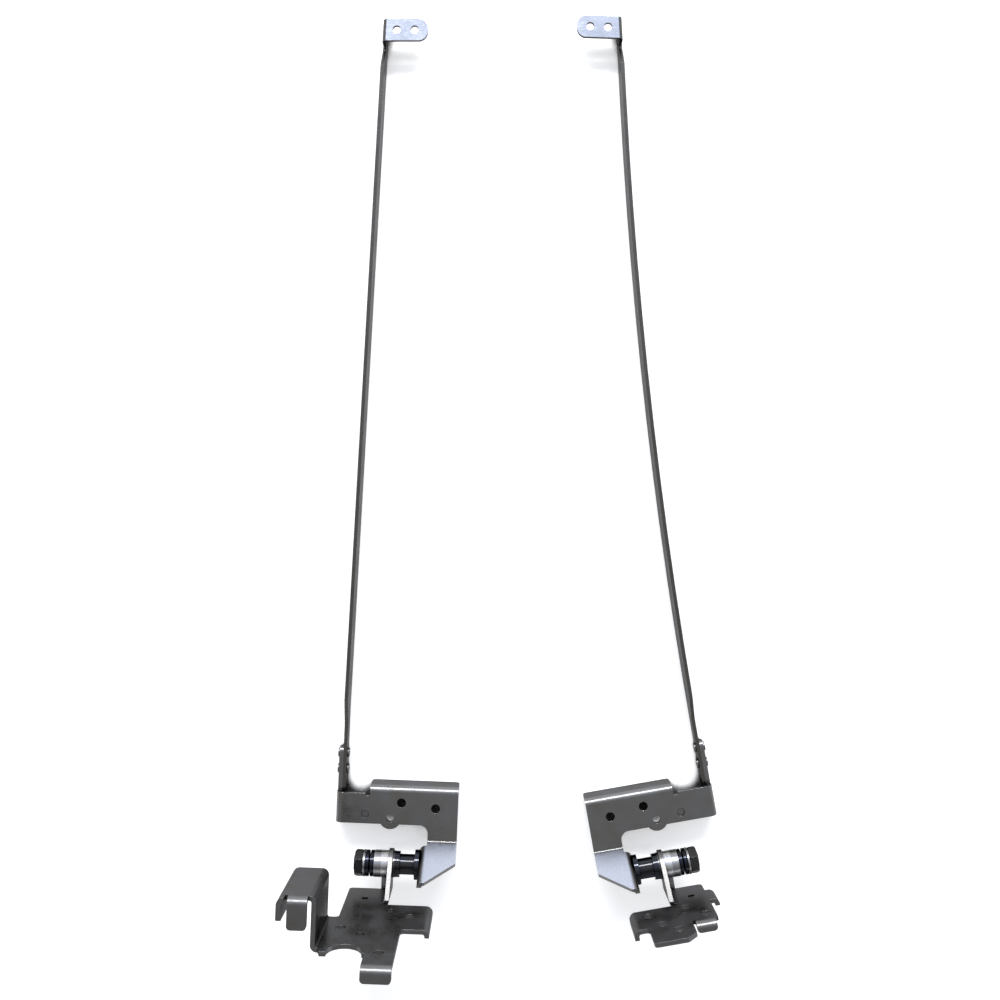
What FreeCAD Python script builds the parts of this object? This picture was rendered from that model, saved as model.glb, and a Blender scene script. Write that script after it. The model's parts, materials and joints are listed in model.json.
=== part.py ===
import FreeCAD, Part
import Sketcher
import math
import os

# Laptop hinge pair, lying on a table with the lids' side of each hinge down and its base bracket standing up.
# The frame is in millimetres with +Z up. Each hinge is built about its own shaft and then set in its place:
# u runs along the shaft, from the barrel to the wall of the lid bracket, y up the rail and z towards the sky.
# u is 0 on the barrel side of that wall, y and z are 0 on the shaft's axis. The right hinge has u mirrored.

DOC = FreeCAD.newDocument("LaptopHingePair")

# Each driving dimension: name in the sheet, value, what it is
DIMENSIONS = [
    # sheet steel
    ("lid_sheet", 1.2, "thickness of the lid bracket's sheet"),
    ("base_sheet", 1.2, "thickness of the base bracket's sheet"),
    ("rail_sheet", 1.0, "thickness of the rail's strip"),
    ("bend_inside", 0.6, "inner radius of the bends in the brackets"),
    ("rail_bend_inside", 0.4, "inner radius of the bend between rail and ear"),
    # lid bracket
    ("plate_drop", 2.6, "shaft axis down to the lid plate's face"),
    ("lid_depth", 7.0, "lid plate's face down to the table: depth of flange, tab and rail"),
    ("flange_top", 21.2, "shaft axis to the outer face of the back flange"),
    ("flange_left", 15.0, "wall to the flange's barrel-side end"),
    ("post_right", 10.3, "wall to the far edge of the post"),
    ("post_left", 1.9, "wall to the near edge of the post"),
    ("left_tab", 24.6, "left wall to the outer face of the side tab"),
    ("right_tab", 26.4, "right wall to the outer face of the side tab"),
    ("arm_top", 18.9, "upper edge of the arm"),
    ("arm_low", 10.3, "lower edge of the arm"),
    ("relief_width", 1.2, "width of the relief beside the flange"),
    ("relief_low", 18.2, "lower end of that relief"),
    ("crotch_round", 2.4, "radius of the corner between arm and post"),
    ("lobe_radius", 3.2, "radius of the lobe about the lower screw hole"),
    ("tab_above", 2.0, "upper rivet up to the end of the side tab"),
    ("tab_front", 5.7, "shaft axis down to the tab's and the rail foot's front edge"),
    ("tab_round", 1.5, "radius of the tab's upper corners"),
    ("fold_up", 5.9, "shaft axis up to the fold between post and brace"),
    ("fold_angle", 60.0, "angle of the fold between post and brace"),
    ("brace_long", 14.6, "length of the brace along the wall"),
    ("brace_short", 7.6, "length of the brace along its free edge"),
    ("brace_flat", 2.1, "flat stretch of the brace's lower edge beside the wall"),
    ("wall_start", 1.6, "fold to the wall's upper edge, down the brace"),
    ("wall_deep", 7.6, "depth of the wall behind the brace's face"),
    ("wall_waist", 9.6, "fold to where the wall starts to narrow"),
    ("wall_toe", 2.2, "depth of the wall at its lower end"),
    ("wall_round", 3.1, "radius of the wall's two rear corners"),
    ("lid_hole", 2.6, "diameter of the two upper screw holes"),
    ("lid_hole_a_left", 5.9, "upper middle screw hole, from the wall"),
    ("lid_hole_a_up", 16.5, "upper middle screw hole, above the axis"),
    ("lid_hole_b_right", 3.9, "upper outer screw hole, from the wall"),
    ("lid_hole_b_up", 15.2, "upper outer screw hole, above the axis"),
    ("lid_small_hole", 2.2, "diameter of the lower hole"),
    ("lid_small_left", 9.0, "lower hole, from the wall"),
    ("lid_small_up", 12.1, "lower hole, above the axis"),
    ("lid_dimple", 2.3, "diameter of the locating dimple"),
    ("lid_dimple_left", 16.2, "locating dimple, from the wall"),
    ("lid_dimple_up", 13.0, "locating dimple, above the axis"),
    ("dimple_deep", 0.4, "depth of each dimple"),
    # rail
    ("rail_foot", 12.6, "shaft axis up to the rail's lower end"),
    ("rail_bend_up", 34.5, "height at which the rail starts to lean"),
    ("rail_full_up", 45.0, "height from which the rail has its full depth"),
    ("left_lean", 1.05, "lean of the left rail, towards the other hinge"),
    ("left_lean_radius", 600.0, "radius of the left rail's bend"),
    ("left_rail_end", 205.8, "left rail's length above the height where it leans"),
    ("left_ear_turn", 3.2, "left ear's angle off square"),
    ("right_lean", 7.0, "lean of the right rail, away from the other hinge"),
    ("right_lean_radius", 1500.0, "radius of the right rail's bow"),
    ("right_rail_end", 206.0, "right rail's length above the height where it leans"),
    ("right_ear_turn", 4.8, "right ear's angle off square"),
    ("ear_long", 12.8, "length of the ear across the rail"),
    ("ear_high", 6.2, "height of the ear"),
    ("ear_round", 2.7, "radius of the ear's free corners"),
    ("ear_hole", 2.3, "diameter of the ear's screw holes"),
    ("ear_hole_near", 3.9, "nearer hole, from the rail's outer face"),
    ("ear_hole_pitch", 5.1, "distance between the ear's screw holes"),
    ("ear_notch_deep", 3.4, "depth of the rail's notch under the ear"),
    ("ear_notch_step", 1.6, "straight stretch of that notch"),
    ("ear_notch_long", 7.0, "length of that notch"),
    # rivets
    ("rivet", 1.6, "diameter of a rivet's shank"),
    ("rivet_head", 2.6, "diameter of a rivet's heads"),
    ("rivet_head_high", 0.45, "height of a rivet's heads"),
    ("rivet_up", 29.2, "upper rivet, above the axis"),
    ("rivet_pitch", 4.6, "distance between the rivets"),
    # shaft
    ("shank", 3.2, "diameter of the shaft's riveted shank"),
    ("peen", 3.6, "diameter of the peened end"),
    ("peen_high", 0.35, "height of the peened end"),
    ("shoulder", 8.2, "diameter of the shoulder against the wall"),
    ("shoulder_long", 1.2, "thickness of the shoulder"),
    ("neck", 5.6, "diameter of the neck"),
    ("neck_long", 4.2, "length of the neck"),
    ("collar", 7.1, "diameter of the collar"),
    ("collar_long", 1.4, "length of the collar"),
    ("journal", 4.0, "diameter of the journal"),
    ("journal_flats", 3.0, "distance across the journal's flats"),
    ("running_gap", 0.04, "radial clearance between journal and eye"),
    ("key_gap", 0.03, "clearance between the journal's flats and a keyed washer"),
    ("face_gap", 0.03, "clearance between faces that turn on each other"),
    ("tail", 0.3, "stretch of the shaft beyond the nut"),
    # friction stack
    ("inner_washer_thick", 0.5, "thickness of the inner washer"),
    ("inner_washer_wide", 7.3, "diameter of the inner washer"),
    ("stop_washer_thick", 2.1, "thickness of the stop washer"),
    ("washer_wide", 7.4, "diameter of the stop and friction washers"),
    ("stop_leg_thick", 1.2, "thickness of the stop washer's leg"),
    ("friction_washer_thick", 1.9, "thickness of the friction washer"),
    ("disc_wide", 7.2, "diameter of a spring disc"),
    ("disc_sheet", 0.42, "thickness of a spring disc's sheet"),
    ("disc_high", 0.64, "height of a dished spring disc"),
    ("disc_bore_gap", 0.12, "radial clearance inside a spring disc"),
    ("pressure_washer_thick", 0.55, "thickness of the pressure washer"),
    ("nut_thick", 2.4, "thickness of the lock nut"),
    ("nut_wide", 6.6, "distance across the nut's flats"),
    ("nut_chamfer", 0.5, "chamfer on the nut's corners"),
    # base bracket, both hands
    ("base_drop", 7.6, "shaft axis to the base plate's upper face"),
    ("base_back", 1.2, "shaft axis down to the base plate's rear edge"),
    ("eye_radius", 4.25, "outer radius of the eye"),
    ("eye_foot_front", 9.6, "front end of the eye's foot"),
    ("eye_foot_rise", 0.8, "upright stretch at the front of the eye's foot"),
    ("eye_relief", 0.8, "width of the slot between the eye's foot and the arm"),
    ("eye_relief_deep", 2.1, "depth of that slot"),
    ("flange_reach", 1.9, "flat stretch of the plate beside a bend's end"),
    ("small_dimple", 1.9, "diameter of the base plate's dimple"),
    ("corner", 1.0, "radius of the plates' plain corners"),
    # left base bracket
    ("left_side", 19.5, "outer edge of the left plate's rear part"),
    ("left_arm", 4.9, "outer face of the left arm's flange"),
    ("left_arm_front", 26.4, "front edge of the left arm"),
    ("left_arm_drop", 2.5, "height of the left arm's flange"),
    ("left_stem_in", 10.0, "barrel-side edge of the left stem"),
    ("left_stem_out", 2.5, "wall-side edge of the left stem"),
    ("left_stem_front", 49.2, "front face of the left stem's lip"),
    ("left_stem_drop", 3.9, "height of the left stem's lip"),
    ("left_shelf_front", 41.4, "front edge of the left plate beside the hook"),
    ("scoop_radius", 4.4, "radius of the scoop in the left plate's front edge"),
    ("scoop_left", 15.0, "centre of the scoop, from the wall"),
    ("scoop_front", 41.0, "centre of the scoop, forward of the axis"),
    ("shelf_slant", 0.7, "slant of the plate's corner beside the hook"),
    ("hook_inner", 22.4, "hook's riser: face towards the shaft"),
    ("hook_outer", 32.0, "hook's outer face"),
    ("hook_back", 19.8, "rear edge of the hook"),
    ("hook_front", 39.4, "front edge of the riser"),
    ("hook_lip_front", 41.4, "front face of the hook's lip"),
    ("hook_high", 12.7, "top of the hook above the base plate"),
    ("hook_skirt", 6.0, "height of the hook's outer skirt"),
    ("hook_lip_inset", 2.7, "hook's outer face in to its lip"),
    ("hook_lip_start", 2.0, "riser's inner face out to the lip"),
    ("hook_lip_drop", 7.9, "height of the hook's lip"),
    ("hook_slit", 0.8, "width of the slit between the lip and the skirt"),
    ("hook_slit_back", 39.2, "rear end of that slit"),
    # right base bracket
    ("right_side", 18.2, "outer edge of the right plate"),
    ("right_ledge", 20.9, "outer face of the right side flange"),
    ("right_ledge_back", 3.6, "rear end of the right side flange"),
    ("right_ledge_front", 10.5, "front end of the right side flange"),
    ("right_ledge_drop", 2.4, "height of the right side flange"),
    ("right_arm", 4.3, "outer face of the right arm's flange"),
    ("right_arm_front", 22.2, "front edge of the right arm"),
    ("right_arm_drop", 3.1, "height of the right arm's flange"),
    ("right_lip_left", 17.4, "outer edge of the right front lip"),
    ("right_lip_right", 12.0, "inner edge of the right front lip"),
    ("right_lip_front", 24.2, "front face of the right front lip"),
    ("right_lip_back", 21.8, "rear end of the slits beside that lip"),
    ("right_lip_drop", 2.7, "height of the right front lip"),
    ("right_stem_in", 11.2, "barrel-side edge of the right stem"),
    ("right_stem_out", 0.2, "wall-side edge of the right stem"),
    ("right_stem_front", 31.6, "front edge of the right stem"),
    ("right_stem_cut", 2.6, "chamfer on the right stem's corner"),
    # places of the two hinges on the table
    ("left_x", -22.9, "left shaft's wall end"),
    ("left_y", -103.3, "left shaft's wall end"),
    ("left_turn", -2.2, "left hinge's turn on the table"),
    ("right_x", 38.0, "right shaft's wall end"),
    ("right_y", -104.8, "right shaft's wall end"),
    ("right_turn", 10.0, "right hinge's turn on the table"),
    ("shift_x", -3.65, "shift that brings the pair's box to the origin"),
    ("shift_y", -11.23, "shift that brings the pair's box to the origin"),
]

# Holes of the base plates: name, diameter, place from the wall and forward of the axis
LEFT_BASE_HOLES = [
    ("left_hole_1", 2.8, -0.8, 17.9),
    ("left_hole_2", 2.8, -17.9, 26.6),
    ("left_hole_3", 2.3, -6.3, 14.6),
    ("left_hole_4", 2.3, -12.4, 30.2),
    ("left_hole_5", 2.8, -6.5, 40.9),
]
RIGHT_BASE_HOLES = [
    ("right_hole_1", 2.9, -0.8, 14.5),
    ("right_hole_2", 2.9, -15.6, 18.6),
    ("right_hole_3", 2.9, -3.5, 20.8),
    ("right_hole_4", 2.9, -7.2, 25.6),
    ("right_hole_5", 2.6, -10.9, 12.6),
]
LEFT_BASE_DIMPLE = ("left_dimple", -14.2, 6.4)
RIGHT_BASE_DIMPLE = ("right_dimple", -13.9, 6.0)

# The key inside a keyed bore reaches this share of the bore's diameter from the axis, into the ring
KEY_REACH = 0.6
# The stop washer's leg starts at this share of the washer's diameter below the axis, inside the ring
LEG_ROOT = 0.4
SPRING_DISCS = 4
X_AXIS = FreeCAD.Vector(1, 0, 0)
Y_AXIS = FreeCAD.Vector(0, 1, 0)
Z_AXIS = FreeCAD.Vector(0, 0, 1)
NEAR = 1e-3


class Size:
    """A length or angle, kept with the sheet expression that drives it."""

    def __init__(self, value, text):
        self.value = value
        self.text = text

    def __add__(self, other):
        other = as_size(other)
        return Size(self.value + other.value, f"({self.text} + {other.text})")

    def __sub__(self, other):
        other = as_size(other)
        return Size(self.value - other.value, f"({self.text} - {other.text})")

    def __mul__(self, other):
        other = as_size(other)
        return Size(self.value * other.value, f"({self.text} * {other.text})")

    def __truediv__(self, other):
        other = as_size(other)
        return Size(self.value / other.value, f"({self.text} / {other.text})")

    def __neg__(self):
        return Size(-self.value, f"(-{self.text})")

    def __radd__(self, other):
        return as_size(other) + self

    def __rsub__(self, other):
        return as_size(other) - self

    def __rmul__(self, other):
        return as_size(other) * self


def as_size(number):
    """A plain number as a Size."""
    if isinstance(number, Size):
        return number
    return Size(float(number), f"({float(number)!r})")


def sine(angle):
    return Size(math.sin(math.radians(angle.value)), f"sin({angle.text})")


def cosine(angle):
    return Size(math.cos(math.radians(angle.value)), f"cos({angle.text})")


def tangent(angle):
    return Size(math.tan(math.radians(angle.value)), f"tan({angle.text})")


def root(number):
    return Size(math.sqrt(number.value), f"sqrt({number.text})")


class Sheet:
    """The sheet of sizes: each alias is also an attribute here."""

    def __init__(self, name):
        self.sheet = DOC.addObject("Spreadsheet::Sheet", name)
        self.rows = 0

    def add(self, alias, value, note):
        self.rows += 1
        self.sheet.set(f"A{self.rows}", note)
        self.sheet.set(f"B{self.rows}", repr(value))
        self.sheet.setAlias(f"B{self.rows}", alias)
        setattr(self, alias, Size(float(value), f"{self.sheet.Name}.{alias}"))


def fill_sheet():
    """Write every driving dimension into one sheet."""
    sizes = Sheet("Sizes")
    for alias, value, note in DIMENSIONS:
        sizes.add(alias, value, note)
    for alias, across, left, front in LEFT_BASE_HOLES + RIGHT_BASE_HOLES:
        sizes.add(alias + "_wide", across, "diameter of a base screw hole")
        sizes.add(alias + "_u", left, "its place along the shaft")
        sizes.add(alias + "_z", front, "its place forward of the axis")
    for alias, left, front in (LEFT_BASE_DIMPLE, RIGHT_BASE_DIMPLE):
        sizes.add(alias + "_u", left, "the base dimple's place along the shaft")
        sizes.add(alias + "_z", front, "the base dimple's place forward of the axis")
    DOC.recompute()
    return sizes


at = fill_sheet()


class Piece:
    """One body of sheet or turned steel, drawn in its hinge's own frame."""

    def __init__(self, hand, label):
        self.hand = hand
        side = "left" if hand > 0 else "right"
        self.body = DOC.addObject("PartDesign::Body", f"{side}_{label}")
        self.body.Label = f"{side}_{label}"
        self.count = 0

    def across(self, u):
        """A place along the shaft, mirrored on the right hinge."""
        u = as_size(u)
        return u if self.hand > 0 else -u

    def name(self, kind):
        self.count += 1
        return f"{self.body.Name}_{kind}_{self.count}"

    def sketch(self, role, offset=0.0, base=None, turn=None):
        """A sketch on a plane of the body, moved along its normal by offset, or placed by base and turn."""
        sketch = self.body.newObject("Sketcher::SketchObject", self.name("sketch"))
        support = [plane for plane in self.body.Origin.OriginFeatures if plane.Role == role][0]
        sketch.AttachmentSupport = [(support, "")]
        sketch.MapMode = "FlatFace"
        base = base or (as_size(0), as_size(0), as_size(offset))
        axis, angle = turn or (Z_AXIS, as_size(0))
        place = FreeCAD.Vector(*[length.value for length in base])
        sketch.AttachmentOffset = FreeCAD.Placement(place, FreeCAD.Rotation(axis, angle.value))
        for letter, length in zip("xyz", base):
            sketch.setExpression(f"AttachmentOffset.Base.{letter}", length.text)
        if turn:
            sketch.setExpression("AttachmentOffset.Rotation.Angle", angle.text)
        return sketch

    def drawn(self, role, points):
        """Points in a sketch's own two directions, with the place along the shaft mirrored where needed."""
        if role == "YZ_Plane":
            return [(as_size(a), as_size(b)) for a, b in points]
        return [(self.across(a), as_size(b)) for a, b in points]

    def outline(self, points, role="XY_Plane", **place):
        """A sketch of one closed outline with straight edges."""
        sketch = self.sketch(role, **place)
        draw_outline(sketch, self.drawn(role, points))
        return sketch

    def circles(self, centres, diameter, role="XY_Plane", **place):
        """A sketch of like circles."""
        sketch = self.sketch(role, **place)
        for centre in self.drawn(role, centres):
            draw_circle(sketch, centre, diameter)
        return sketch

    def pad(self, sketch, length, kind="PartDesign::Pad", back=False, both=False):
        """Pad or pocket a sketch, check that it changed the solid, and show the result."""
        before = self.body.Shape.Volume if self.body.Tip else 0.0
        feature = self.body.newObject(kind, self.name("pad" if kind.endswith("Pad") else "pocket"))
        feature.Profile = sketch
        length = as_size(length)
        feature.Length = length.value
        feature.setExpression("Length", length.text)
        feature.Reversed = back
        feature.Midplane = both
        DOC.recompute()
        after = self.body.Shape.Volume
        grows = kind.endswith("Pad")
        if (after - before) * (1 if grows else -1) <= 0:
            raise RuntimeError(f"{feature.Name} left the volume as it was")
        return feature

    def pocket(self, sketch, length, back=False, both=False):
        return self.pad(sketch, length, "PartDesign::Pocket", back, both)

    def low(self, u_from, u_to):
        """The lower X of a stretch along the shaft, u_from being nearer the barrel."""
        return as_size(u_from) if self.hand > 0 else -as_size(u_to)

    def slab(self, points, u_from, u_to):
        """Pad a (y, z) outline over a stretch along the shaft."""
        sketch = self.outline(points, "YZ_Plane", offset=self.low(u_from, u_to))
        return self.pad(sketch, as_size(u_to) - as_size(u_from))

    def slot(self, points, u_from, u_to):
        """Cut a (y, z) outline over a stretch along the shaft."""
        sketch = self.outline(points, "YZ_Plane", offset=self.low(u_from, u_to))
        return self.pocket(sketch, as_size(u_to) - as_size(u_from), back=True)

    def bore(self, centres, diameter, u_from, u_to):
        """Cut round holes along the shaft's direction, at the (y, z) places given."""
        sketch = self.circles(centres, diameter, "YZ_Plane", offset=self.low(u_from, u_to))
        return self.pocket(sketch, as_size(u_to) - as_size(u_from), back=True)

    def turned(self, points, kind="PartDesign::Revolution"):
        """Turn a (u, radius) outline about the shaft's axis, as a solid or as a cut."""
        before = self.body.Shape.Volume if self.body.Tip else 0.0
        feature = self.body.newObject(kind, self.name("turn"))
        sketch = self.outline(points)
        feature.Profile = sketch
        feature.ReferenceAxis = (sketch, ["H_Axis"])
        feature.Angle = 360.0
        DOC.recompute()
        change = self.body.Shape.Volume - before
        if change * (1 if kind.endswith("Revolution") else -1) <= 0:
            raise RuntimeError(f"{feature.Name} left the volume as it was")

    def round(self, radius, points, along):
        """Round the straight edges that run along a direction through the points given."""
        edges = [edge_name(self.body.Shape, point, along) for point in points]
        before = self.body.Tip
        fillet = self.body.newObject("PartDesign::Fillet", self.name("round"))
        fillet.Base = (before, edges)
        radius = as_size(radius)
        fillet.Radius = radius.value
        fillet.setExpression("Radius", radius.text)
        DOC.recompute()
        if not fillet.isValid() or fillet.Shape.isNull() or not fillet.Shape.isValid():
            raise RuntimeError(f"{fillet.Name} can't be made: {fillet.getStatusString()}")
        return fillet

    def bend(self, sheet, outer, inner, along):
        """Round a fold in sheet steel: its outer edge and its inner edge."""
        self.round(at.bend_inside + sheet, [outer], along)
        self.round(at.bend_inside, [inner], along)

    def point(self, u, y, z):
        """A point of the hinge's frame, as a vector of the body's frame."""
        return FreeCAD.Vector(self.across(u).value, as_size(y).value, as_size(z).value)


def draw_outline(sketch, points):
    """Straight edges from point to point, each corner held by two lengths."""
    count = len(points)
    corners = [FreeCAD.Vector(a.value, b.value, 0) for a, b in points]
    first = sketch.GeometryCount
    lines = [Part.LineSegment(corners[i], corners[(i + 1) % count]) for i in range(count)]
    sketch.addGeometry(lines, False)
    joints = []
    for i in range(count):
        joints.append(Sketcher.Constraint("Coincident", first + i, 2, first + (i + 1) % count, 1))
    sketch.addConstraint(joints)
    for i, (a, b) in enumerate(points):
        hold(sketch, "DistanceX", (-1, 1, first + i, 1), a)
        hold(sketch, "DistanceY", (-1, 1, first + i, 1), b)


def draw_circle(sketch, centre, diameter):
    """A circle held by its centre and diameter."""
    a, b = as_size(centre[0]), as_size(centre[1])
    diameter = as_size(diameter)
    middle = FreeCAD.Vector(a.value, b.value, 0)
    index = sketch.addGeometry(Part.Circle(middle, Z_AXIS, diameter.value / 2), False)
    hold(sketch, "DistanceX", (-1, 1, index, 3), a)
    hold(sketch, "DistanceY", (-1, 1, index, 3), b)
    hold(sketch, "Diameter", (index,), diameter)


def hold(sketch, kind, parts, size):
    """Add a dimension and bind it to the sheet."""
    index = sketch.addConstraint(Sketcher.Constraint(kind, *parts, size.value))
    sketch.setExpression(f"Constraints[{index}]", size.text)


def edge_name(shape, point, along):
    """The name of the straight edge through a point that runs along a direction."""
    probe = Part.Vertex(point)
    for index, edge in enumerate(shape.Edges, 1):
        if len(edge.Vertexes) != 2 or edge.Curve.TypeId != "Part::GeomLine":
            continue
        run = (edge.Vertexes[1].Point - edge.Vertexes[0].Point).normalize()
        if run.cross(along).Length < NEAR and edge.distToShape(probe)[0] < NEAR:
            return f"Edge{index}"
    raise RuntimeError(f"no straight edge passes through {point}")


def sign_of(hand):
    """+1 for the left hinge and -1 for the right one, as a size."""
    return as_size(1.0 if hand > 0 else -1.0)


def box_points(low_a, high_a, low_b, high_b):
    return [(low_a, low_b), (high_a, low_b), (high_a, high_b), (low_a, high_b)]


# Places along the shaft, from the wall towards the barrel's end
TABLE = -at.plate_drop - at.lid_depth
NECK_START = -at.shoulder_long
NECK_END = NECK_START - at.neck_long
COLLAR_END = NECK_END - at.collar_long
INNER_WASHER_END = COLLAR_END - at.inner_washer_thick
EYE_RIGHT = INNER_WASHER_END - at.face_gap
EYE_LEFT = EYE_RIGHT - at.base_sheet
STOP_WASHER_END = EYE_LEFT - at.stop_washer_thick
FRICTION_START = STOP_WASHER_END - at.face_gap
FRICTION_END = FRICTION_START - at.friction_washer_thick
DISCS_END = FRICTION_END - at.disc_high * SPRING_DISCS
PRESSURE_END = DISCS_END - at.pressure_washer_thick
NUT_END = PRESSURE_END - at.nut_thick
TAIL_END = NUT_END - at.tail
RIVET_Z = (TABLE - at.tab_front) / 2


def slope(along, deep):
    """The (y, z) of a place on the brace: so far down from the fold, so deep behind its face."""
    y = at.fold_up - along * cosine(at.fold_angle) - deep * sine(at.fold_angle)
    z = along * sine(at.fold_angle) - at.plate_drop - deep * cosine(at.fold_angle)
    return y, z


def lid_bracket(hand):
    """Plate with back flange, side tab, sloping brace and the wall that holds the shaft."""
    piece = Piece(hand, "lid_bracket")
    sheet = at.lid_sheet
    tab = at.left_tab if hand > 0 else at.right_tab
    tab_top = at.rivet_up + at.tab_above
    face = -at.plate_drop
    rear = face - sheet
    fold_back = sheet * tangent(at.fold_angle / 2)
    relief = -at.flange_left - at.relief_width
    plate = [
        (-tab, at.arm_low),
        (at.post_left, at.arm_low),
        (at.post_left, at.fold_up - fold_back),
        (at.post_right, at.fold_up - fold_back),
        (at.post_right, at.flange_top),
        (-at.flange_left, at.flange_top),
        (-at.flange_left, at.relief_low),
        (relief, at.relief_low),
        (relief, at.arm_top),
        (-tab, at.arm_top),
    ]
    piece.pad(piece.outline(plate, offset=face), sheet, back=True)
    lobe = [(-at.lid_small_left, at.lid_small_up)]
    piece.pad(piece.circles(lobe, at.lobe_radius * 2, offset=face), sheet, back=True)
    # brace and wall
    brace = [
        (at.post_left, fold_back),
        (at.post_left, -at.wall_start),
        (0, -at.wall_start),
        (0, -at.brace_long),
        (at.brace_flat, -at.brace_long),
        (at.post_right, -at.brace_short),
        (at.post_right, fold_back),
    ]
    place = {"base": (as_size(0), at.fold_up, -at.plate_drop), "turn": (X_AXIS, -at.fold_angle)}
    piece.pad(piece.outline(brace, **place), sheet, back=True)
    wall = [
        slope(at.wall_start, as_size(0)),
        slope(at.brace_long, as_size(0)),
        slope(at.brace_long, at.wall_toe),
        slope(at.wall_waist, at.wall_deep),
        slope(at.wall_start, at.wall_deep),
    ]
    piece.slab(wall, 0, sheet)
    # back flange and side tab
    piece.slab(box_points(at.flange_top - sheet, at.flange_top, TABLE, face), -at.flange_left, at.post_right)
    side = [
        (at.arm_low, face),
        (at.arm_top, face),
        (at.arm_top, -at.tab_front),
        (tab_top, -at.tab_front),
        (tab_top, TABLE),
        (at.arm_low, TABLE),
    ]
    piece.slab(side, -tab, sheet - tab)
    # folds
    slant = FreeCAD.Vector(0, -cosine(at.fold_angle).value, sine(at.fold_angle).value)
    middle = (at.post_left + at.post_right) / 2
    piece.bend(
        sheet,
        piece.point(middle, at.fold_up - fold_back, rear),
        piece.point(middle, at.fold_up, face),
        X_AXIS,
    )
    waist = (at.wall_start + at.brace_long) / 2
    piece.bend(
        sheet,
        piece.point(0, *slope(waist, as_size(0))),
        piece.point(sheet, *slope(waist, sheet)),
        slant,
    )
    piece.bend(
        sheet,
        piece.point(-at.lid_small_left, at.flange_top, face),
        piece.point(-at.lid_small_left, at.flange_top - sheet, rear),
        X_AXIS,
    )
    arm_middle = (at.arm_low + at.arm_top) / 2
    piece.bend(
        sheet,
        piece.point(-tab, arm_middle, face),
        piece.point(sheet - tab, arm_middle, rear),
        Y_AXIS,
    )
    # corners
    half = sheet / 2
    wall_corners = [slope(at.wall_waist, at.wall_deep), slope(at.wall_start, at.wall_deep)]
    piece.round(at.wall_round, [piece.point(half, *corner) for corner in wall_corners], X_AXIS)
    piece.round(at.corner, [piece.point(half, *slope(at.brace_long, at.wall_toe))], X_AXIS)
    piece.round(at.crotch_round, [piece.point(at.post_left, at.arm_low, face - half)], Z_AXIS)
    tab_corners = [piece.point(half - tab, tab_top, z) for z in (-at.tab_front, TABLE)]
    piece.round(at.tab_round, tab_corners, X_AXIS)
    lips = [
        piece.point(-at.flange_left, at.flange_top - half, TABLE),
        piece.point(at.post_right, at.flange_top - half, TABLE),
    ]
    piece.round(at.corner, lips, Y_AXIS)
    # holes
    screw_holes = [(-at.lid_hole_a_left, at.lid_hole_a_up), (at.lid_hole_b_right, at.lid_hole_b_up)]
    piece.pocket(piece.circles(screw_holes, at.lid_hole, offset=face), sheet * 2)
    piece.pocket(piece.circles(lobe, at.lid_small_hole, offset=face), sheet * 2)
    dimple = [(-at.lid_dimple_left, at.lid_dimple_up)]
    piece.pocket(piece.circles(dimple, at.lid_dimple, offset=face), at.dimple_deep)
    piece.bore([(0, 0)], at.shank, 0, sheet)
    piece.bore(rivet_places(), at.rivet, -tab, sheet - tab)
    return piece


def rivet_places():
    return [(at.rivet_up, RIVET_Z), (at.rivet_up - at.rivet_pitch, RIVET_Z)]


def eye(piece):
    """The upright eye on the base plate's rear edge, with its bore."""
    sheet = at.base_sheet
    bottom = -at.base_drop - sheet
    foot_top = at.eye_foot_rise - at.base_drop
    reach = foot_top * foot_top + at.eye_foot_front * at.eye_foot_front
    square = at.eye_radius * at.eye_radius
    # the foot's slanting edge touches the eye's circle here
    part = square / reach
    side = at.eye_radius * root(reach - square) / reach
    touch_y = part * foot_top + side * at.eye_foot_front
    touch_z = part * at.eye_foot_front - side * foot_top
    foot = [
        (bottom, -at.base_back),
        (bottom, at.eye_foot_front),
        (foot_top, at.eye_foot_front),
        (touch_y, touch_z),
        (0, -at.base_back),
    ]
    piece.slab(foot, EYE_LEFT, EYE_RIGHT)
    disc = piece.circles([(0, 0)], at.eye_radius * 2, "YZ_Plane", offset=piece.low(EYE_LEFT, EYE_RIGHT))
    piece.pad(disc, sheet)
    middle = (at.eye_foot_front - at.base_back) / 2
    piece.bend(
        sheet,
        piece.point(EYE_RIGHT, bottom, middle),
        piece.point(EYE_LEFT, -at.base_drop, middle),
        Z_AXIS,
    )
    piece.bore([(0, 0)], at.journal + at.running_gap * 2, EYE_LEFT, EYE_RIGHT)


def drop_flange(piece, outer, inner, start, end, drop):
    """A flange bent down from a side edge of the base plate."""
    sheet = at.base_sheet
    bottom = -at.base_drop - drop
    sketch = piece.outline(box_points(inner, outer, start, end), "XZ_Plane", offset=at.base_drop)
    piece.pad(sketch, drop)
    middle = (start + end) / 2
    half = (outer + inner) / 2
    piece.bend(
        sheet,
        piece.point(outer, -at.base_drop, middle),
        piece.point(inner, -at.base_drop - sheet, middle),
        Z_AXIS,
    )
    piece.round(at.corner, [piece.point(half, bottom, start), piece.point(half, bottom, end)], X_AXIS)


def front_lip(piece, left, right, front, top, drop):
    """A lip bent down from a front edge of a plate whose upper face is at the height given."""
    sheet = at.base_sheet
    sketch = piece.outline(box_points(left, right, front - sheet, front), "XZ_Plane", offset=-top)
    piece.pad(sketch, drop)
    middle = (left + right) / 2
    piece.bend(
        sheet,
        piece.point(middle, top, front),
        piece.point(middle, top - sheet, front - sheet),
        X_AXIS,
    )
    ends = [piece.point(u, top - drop, front - sheet / 2) for u in (left, right)]
    piece.round(at.corner, ends, Z_AXIS)


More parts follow.
